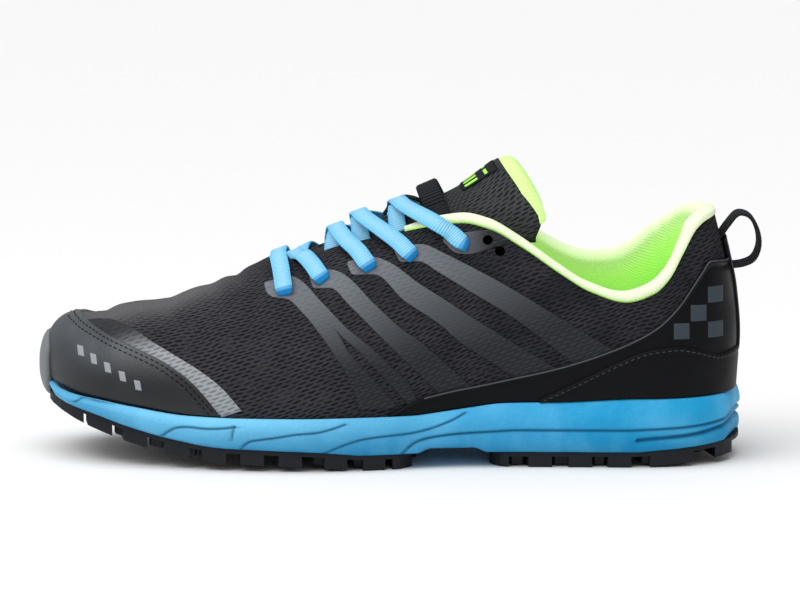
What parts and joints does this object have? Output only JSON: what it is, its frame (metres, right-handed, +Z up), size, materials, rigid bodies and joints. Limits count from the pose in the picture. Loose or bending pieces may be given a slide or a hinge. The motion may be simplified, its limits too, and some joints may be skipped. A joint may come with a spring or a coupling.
{
  "type": "trail running shoe",
  "caption": "Low trail running shoe: lugged rubber tread, foam midsole, hollow mesh upper with overlays, padded collar, tongue and flat laces.",
  "frame": {"origin": "middle of the bounding box in plan, on the floor under the tread", "axes": "-X towards the toe, +X towards the heel, -Y towards the outer (lateral) side, +Z up"},
  "size_m": [0.3024, 0.1056, 0.1242],
  "materials": {
    "foam": "moulded foam with a fine leathery skin, satin",
    "tread_rubber": "dark rubber, matt",
    "mesh": "engineered mesh with wavy rows of openings",
    "synthetic": "smooth synthetic overlay, satin",
    "stripe_film": "thin welded film, matt",
    "lining": "padded knit lining",
    "lace": "flat woven lace",
    "webbing": "ribbed webbing",
    "insole": "knit cover over foam"
  },
  "bodies": {
    "root": {"midsole": "foam", "outsole_forefoot": "tread_rubber", "outsole_heel": "tread_rubber", "toe_bumper": "tread_rubber", "insole": "insole", "upper": "mesh", "toe_cap": "synthetic", "heel_wing": "synthetic", "heel_counter": "synthetic", "backstay": "synthetic", "stripe_lateral_1": "stripe_film", "stripe_lateral_2": "stripe_film", "stripe_lateral_3": "stripe_film", "stripe_lateral_4": "stripe_film", "stripe_lateral_5": "stripe_film", "stripe_medial_1": "stripe_film", "stripe_medial_2": "stripe_film", "stripe_medial_3": "stripe_film", "stripe_medial_4": "stripe_film", "stripe_medial_5": "stripe_film", "collar_lining": "lining", "tongue": "mesh", "tongue_keeper": "webbing", "pull_loop": "webbing", "lace_bar_1": "lace", "lace_cross_2": "lace", "lace_cross_3": "lace", "lace_cross_4": "lace", "lace_cross_5": "lace"}
  },
  "joints": []
}
